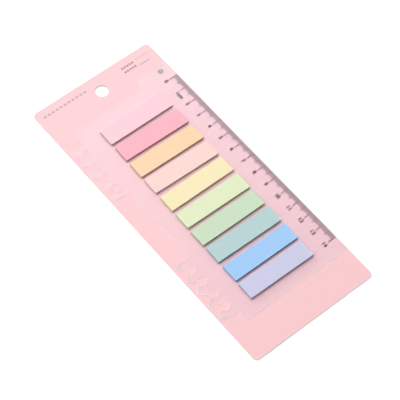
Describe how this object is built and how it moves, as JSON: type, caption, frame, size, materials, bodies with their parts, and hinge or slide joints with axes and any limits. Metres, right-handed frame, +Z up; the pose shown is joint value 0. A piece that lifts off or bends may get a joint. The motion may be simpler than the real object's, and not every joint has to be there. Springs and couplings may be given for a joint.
{
  "type": "sticky index tabs",
  "caption": "Flat backing card with a hang hole and a clear ruler film with ring-binder notches, which carries a column of sticky tab pads in pastel colours.",
  "frame": {"origin": "middle of the card's underside, where it rests", "axes": "+Z up out of the card's printed face, +Y towards the end with the hang hole, +X towards the edge with the ruler scale"},
  "size_m": [0.0844, 0.2, 0.0025],
  "materials": {
    "card": "smooth coated board, satin",
    "film": "clear glossy film with a dark grey ruler scale",
    "paper_pale_pink": "matt",
    "paper_pink": "matt",
    "paper_apricot": "matt",
    "paper_pale_peach": "matt",
    "paper_pale_yellow": "matt",
    "paper_lime": "matt",
    "paper_green": "matt",
    "paper_teal": "matt",
    "paper_sky_blue": "matt",
    "paper_lavender": "matt"
  },
  "bodies": {
    "root": {"backing_card": "card", "ruler_film": "film", "tab_pad_pale_pink": "paper_pale_pink", "tab_pad_pink": "paper_pink", "tab_pad_apricot": "paper_apricot", "tab_pad_pale_peach": "paper_pale_peach", "tab_pad_pale_yellow": "paper_pale_yellow", "tab_pad_lime": "paper_lime", "tab_pad_green": "paper_green", "tab_pad_teal": "paper_teal", "tab_pad_sky_blue": "paper_sky_blue", "tab_pad_lavender": "paper_lavender"}
  },
  "joints": []
}
